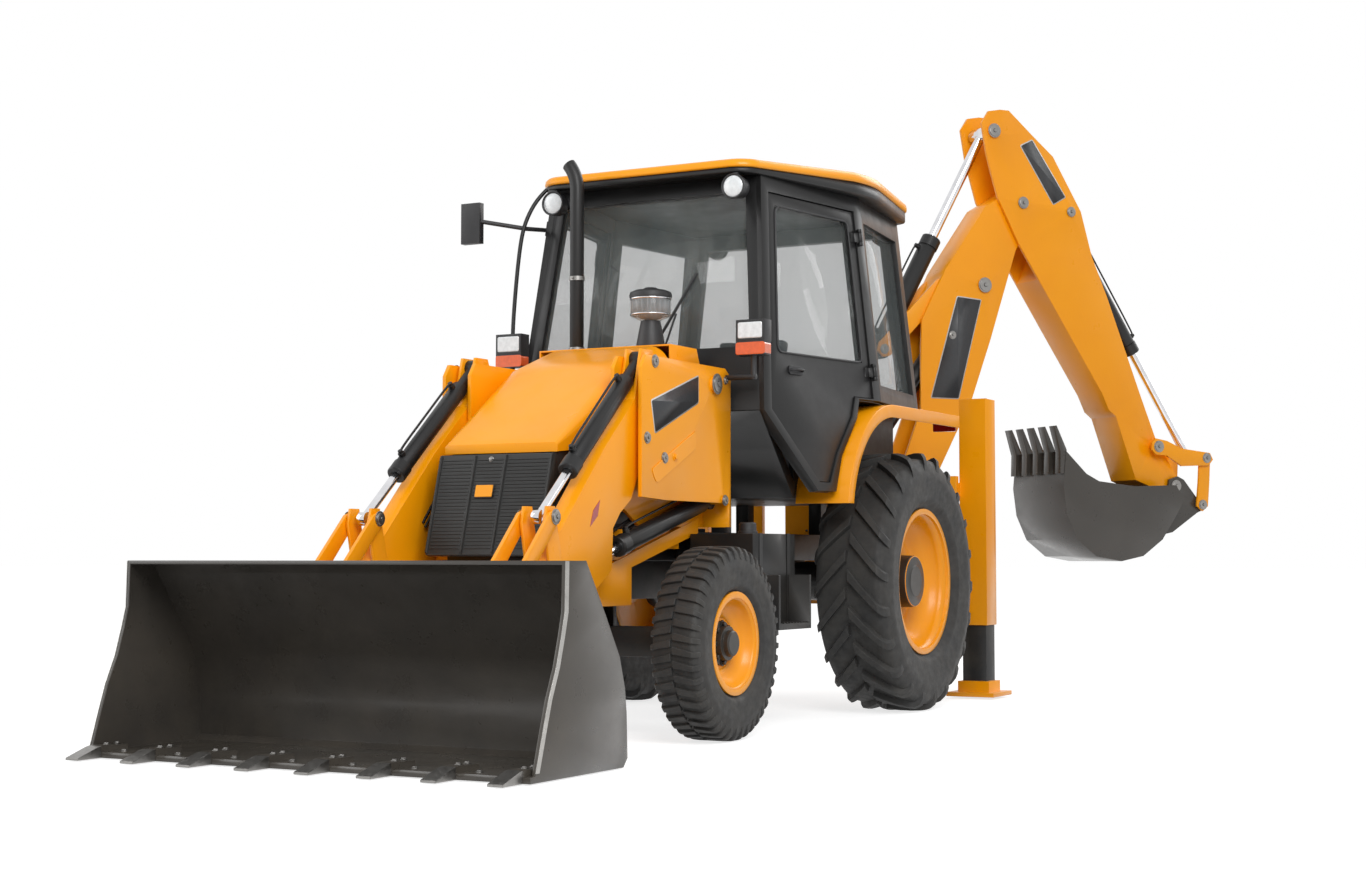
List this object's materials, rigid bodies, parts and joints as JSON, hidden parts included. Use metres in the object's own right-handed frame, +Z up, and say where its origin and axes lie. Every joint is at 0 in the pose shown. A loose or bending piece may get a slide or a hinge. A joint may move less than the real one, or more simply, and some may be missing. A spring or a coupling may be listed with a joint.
{
  "type": "backhoe loader",
  "caption": "Tractor-based backhoe loader with a front loader bucket, a glazed cab, stabiliser legs and a slewing rear digging arm with its bucket.",
  "frame": {"origin": "centre of the bounding box in plan, at the lowest point, which is the ground under the tyres and the loader bucket", "axes": "+X points forward to the loader bucket, +Y to the machine's left, +Z up"},
  "size_m": [7.9676, 2.953, 3.817],
  "materials": {
    "yellow_paint": "gloss",
    "dark_paint": "satin",
    "tyre": "matte",
    "glass": "clear",
    "black_plastic": "matte",
    "seat_fabric": "woven",
    "chrome": "polished",
    "lamp_glass": "clear"
  },
  "bodies": {
    "machine": {"main_frame": "dark_paint", "rear_frame": "yellow_paint", "loader_towers": "yellow_paint", "lashing_eyes": "yellow_paint", "powertrain": "dark_paint", "front_axle": "dark_paint", "rear_axle": "dark_paint", "side_tanks": "dark_paint", "grille": "dark_paint", "cowl": "yellow_paint", "exhaust_stack": "dark_paint", "pre_cleaner": "black_plastic", "cab_frame": "dark_paint", "cab_roof": "yellow_paint", "cab_glass": "glass", "seat": "seat_fabric", "dashboard": "black_plastic", "steering_wheel": "black_plastic", "rear_fenders": "yellow_paint", "lamps": "lamp_glass", "mirrors": "black_plastic"},
    "hood": {"hood": "yellow_paint"},
    "door_left": {"door_left": "dark_paint", "door_glass_left": "glass"},
    "door_right": {"door_right": "dark_paint", "door_glass_right": "glass"},
    "knuckle_left": {"knuckle_left": "dark_paint"},
    "knuckle_right": {"knuckle_right": "dark_paint"},
    "front_wheel_left": {"front_tyre_left": "tyre", "front_rim_left": "yellow_paint"},
    "front_wheel_right": {"front_tyre_right": "tyre", "front_rim_right": "yellow_paint"},
    "rear_wheel_left": {"rear_tyre_left": "tyre", "rear_rim_left": "yellow_paint"},
    "rear_wheel_right": {"rear_tyre_right": "tyre", "rear_rim_right": "yellow_paint"},
    "loader_arms": {"loader_arms": "yellow_paint"},
    "loader_levers": {"loader_levers": "yellow_paint"},
    "loader_links": {"loader_links": "yellow_paint"},
    "loader_bucket": {"loader_bucket": "dark_paint"},
    "lift_ram_barrels": {"lift_ram_barrels": "dark_paint"},
    "lift_ram_rods": {"lift_ram_rods": "chrome"},
    "tilt_ram_barrels": {"tilt_ram_barrels": "dark_paint"},
    "tilt_ram_rods": {"tilt_ram_rods": "chrome"},
    "carriage": {"carriage": "dark_paint"},
    "kingpost": {"kingpost": "dark_paint"},
    "boom": {"boom": "yellow_paint"},
    "boom_ram_barrel": {"boom_ram_barrel": "dark_paint"},
    "boom_ram_rod": {"boom_ram_rod": "chrome"},
    "dipper": {"dipper": "yellow_paint"},
    "dipper_ram_barrel": {"dipper_ram_barrel": "dark_paint"},
    "dipper_ram_rod": {"dipper_ram_rod": "chrome"},
    "hoe_bucket": {"hoe_bucket": "dark_paint"},
    "tipping_lever": {"tipping_lever": "yellow_paint"},
    "tipping_link": {"tipping_link": "yellow_paint"},
    "hoe_bucket_ram_barrel": {"hoe_bucket_ram_barrel": "dark_paint"},
    "hoe_bucket_ram_rod": {"hoe_bucket_ram_rod": "chrome"},
    "stabiliser_left": {"stabiliser_left": "yellow_paint"},
    "stabiliser_right": {"stabiliser_right": "yellow_paint"}
  },
  "joints": [
    {"name": "steer_left", "type": "hinge", "parent": "machine", "child": "knuckle_left", "pos_m": [1.85375, 0.32104, 0.45], "axis": [0, 0, 1], "range_deg": [-35, 35]},
    {"name": "front_wheel_left", "type": "hinge", "parent": "knuckle_left", "child": "front_wheel_left", "pos_m": [1.85375, 0.51104, 0.45], "axis": [0, 1, 0], "continuous": true},
    {"name": "rear_wheel_left", "type": "hinge", "parent": "machine", "child": "rear_wheel_left", "pos_m": [-0.31625, 0.52604, 0.715], "axis": [0, 1, 0], "continuous": true},
    {"name": "steer_right", "type": "hinge", "parent": "machine", "child": "knuckle_right", "pos_m": [1.85375, -1.03896, 0.45], "axis": [0, 0, 1], "range_deg": [-35, 35]},
    {"name": "front_wheel_right", "type": "hinge", "parent": "knuckle_right", "child": "front_wheel_right", "pos_m": [1.85375, -1.22896, 0.45], "axis": [0, 1, 0], "continuous": true},
    {"name": "rear_wheel_right", "type": "hinge", "parent": "machine", "child": "rear_wheel_right", "pos_m": [-0.31625, -1.24396, 0.715], "axis": [0, 1, 0], "continuous": true},
    {"name": "hood", "type": "hinge", "parent": "machine", "child": "hood", "pos_m": [1.43775, -0.35896, 1.872], "axis": [0, -1, 0], "range_deg": [0, 50]},
    {"name": "door_left", "type": "hinge", "parent": "machine", "child": "door_left", "pos_m": [0.06566, 0.55955, 1.85516], "axis": [0, -0.1093, 0.994], "range_deg": [0, 85]},
    {"name": "door_right", "type": "hinge", "parent": "machine", "child": "door_right", "pos_m": [0.06566, -1.27748, 1.85516], "axis": [0, -0.1093, -0.994], "range_deg": [0, 85]},
    {"name": "stabiliser_left", "type": "slide", "parent": "machine", "child": "stabiliser_left", "axis": [0, 0, 1], "range_m": [-0.2, 0.32]},
    {"name": "stabiliser_right", "type": "slide", "parent": "machine", "child": "stabiliser_right", "axis": [0, 0, 1], "range_m": [-0.2, 0.32]},
    {"name": "loader_lift", "type": "hinge", "parent": "machine", "child": "loader_arms", "pos_m": [1.29375, -0.35896, 1.71], "axis": [0, -1, 0], "range_deg": [-3, 84]},
    {"name": "lift_ram_turn", "type": "hinge", "parent": "machine", "child": "lift_ram_barrels", "pos_m": [1.18975, -0.35896, 1.134], "axis": [0, -1, 0], "range_deg": [-3.08, 72.87]},
    {"name": "lift_ram_stroke", "type": "slide", "parent": "lift_ram_barrels", "child": "lift_ram_rods", "axis": [0.9665, 0, -0.2568], "range_m": [-0.0292, 0.7646]},
    {"name": "loader_curl", "type": "hinge", "parent": "loader_arms", "child": "loader_bucket", "pos_m": [3.06875, -0.35896, 0.28], "axis": [0, -1, 0], "range_deg": [-95, 40]},
    {"name": "loader_lever", "type": "hinge", "parent": "loader_arms", "child": "loader_levers", "pos_m": [2.67375, -0.35896, 0.64], "axis": [0, -1, 0], "range_deg": [-82.12, 34.87]},
    {"name": "loader_link", "type": "hinge", "parent": "loader_bucket", "child": "loader_links", "pos_m": [3.18375, -0.35896, 0.6], "axis": [0, -1, 0], "range_deg": [-36.94, 87.05]},
    {"name": "tilt_ram_turn", "type": "hinge", "parent": "loader_arms", "child": "tilt_ram_barrels", "pos_m": [1.88875, -0.35896, 1.785], "axis": [0, -1, 0], "range_deg": [-2.56, 5.39]},
    {"name": "tilt_ram_stroke", "type": "slide", "parent": "tilt_ram_barrels", "child": "tilt_ram_rods", "axis": [0.7578, 0, -0.6525], "range_m": [-0.2143, 0.5062]},
    {"name": "side_shift", "type": "slide", "parent": "machine", "child": "carriage", "axis": [0, 1, 0], "range_m": [-0.45, 0.45]},
    {"name": "slew", "type": "hinge", "parent": "carriage", "child": "kingpost", "pos_m": [-1.71625, -0.35896, 0.9], "axis": [0, 0, -1], "range_deg": [-128, 52]},
    {"name": "boom", "type": "hinge", "parent": "kingpost", "child": "boom", "pos_m": [-1.87385, -0.23583, 0.9], "axis": [0.6157, 0.788, 0], "range_deg": [-95, 17]},
    {"name": "boom_ram_turn", "type": "hinge", "parent": "kingpost", "child": "boom_ram_barrel", "pos_m": [-1.76353, -0.32202, 1.45], "axis": [0.6157, 0.788, 0], "range_deg": [-95.5, 17.5]},
    {"name": "boom_ram_stroke", "type": "slide", "parent": "boom_ram_barrel", "child": "boom_ram_rod", "axis": [-0.47, 0.3672, 0.8027], "range_m": [-0.1564, 0.865]},
    {"name": "dipper", "type": "hinge", "parent": "boom", "child": "dipper", "pos_m": [-2.69023, 0.40199, 3.205], "axis": [0.6157, 0.788, 0], "range_deg": [0, 85]},
    {"name": "dipper_ram_turn", "type": "hinge", "parent": "boom", "child": "dipper_ram_barrel", "pos_m": [-1.87779, -0.23275, 2.19], "axis": [0.6157, 0.788, 0], "range_deg": [-0.5, 3.35]},
    {"name": "dipper_ram_stroke", "type": "slide", "parent": "dipper_ram_barrel", "child": "dipper_ram_rod", "axis": [-0.3765, 0.2942, 0.8785], "range_m": [-0.7147, 0.002]},
    {"name": "hoe_bucket", "type": "hinge", "parent": "dipper", "child": "hoe_bucket", "pos_m": [-3.63505, 1.14017, 1.337], "axis": [0.6157, 0.788, 0], "range_deg": [-20, 135]},
    {"name": "tipping_lever", "type": "hinge", "parent": "dipper", "child": "tipping_lever", "pos_m": [-3.49952, 1.03428, 1.6], "axis": [0.6157, 0.788, 0], "range_deg": [-10.48, 67.88]},
    {"name": "tipping_link", "type": "hinge", "parent": "hoe_bucket", "child": "tipping_link", "pos_m": [-3.79659, 1.26638, 1.21], "axis": [0.6157, 0.788, 0], "range_deg": [-127.57, 19.33]},
    {"name": "hoe_bucket_ram_turn", "type": "hinge", "parent": "dipper", "child": "hoe_bucket_ram_barrel", "pos_m": [-2.98888, 0.63533, 3.17], "axis": [0.6157, 0.788, 0], "range_deg": [-1.37, 6.34]},
    {"name": "hoe_bucket_ram_stroke", "type": "slide", "parent": "hoe_bucket_ram_barrel", "child": "hoe_bucket_ram_rod", "axis": [-0.4243, 0.3315, -0.8426], "range_m": [-0.424, 0.0645]}
  ],
  "couplings": [
    {"joint": "steer_right", "follows": "steer_left", "ratio": 1},
    {"joint": "lift_ram_turn", "follows": "loader_lift", "ratio": 0.8615},
    {"joint": "lift_ram_stroke", "follows": "loader_lift", "m_per_rad": 0.52017},
    {"joint": "loader_lever", "follows": "loader_curl", "ratio": 0.85915},
    {"joint": "loader_link", "follows": "loader_curl", "ratio": -0.91108},
    {"joint": "tilt_ram_turn", "follows": "loader_curl", "ratio": -0.05143},
    {"joint": "tilt_ram_stroke", "follows": "loader_curl", "m_per_rad": -0.30409},
    {"joint": "boom_ram_turn", "follows": "boom", "ratio": 1},
    {"joint": "boom_ram_stroke", "follows": "boom", "m_per_rad": -0.5205},
    {"joint": "dipper_ram_turn", "follows": "dipper", "ratio": 0.03353},
    {"joint": "dipper_ram_stroke", "follows": "dipper", "m_per_rad": -0.48043},
    {"joint": "tipping_lever", "follows": "hoe_bucket", "ratio": 0.49909},
    {"joint": "tipping_link", "follows": "hoe_bucket", "ratio": -0.94128},
    {"joint": "hoe_bucket_ram_turn", "follows": "hoe_bucket", "ratio": 0.0433},
    {"joint": "hoe_bucket_ram_stroke", "follows": "hoe_bucket", "m_per_rad": -0.17911}
  ]
}
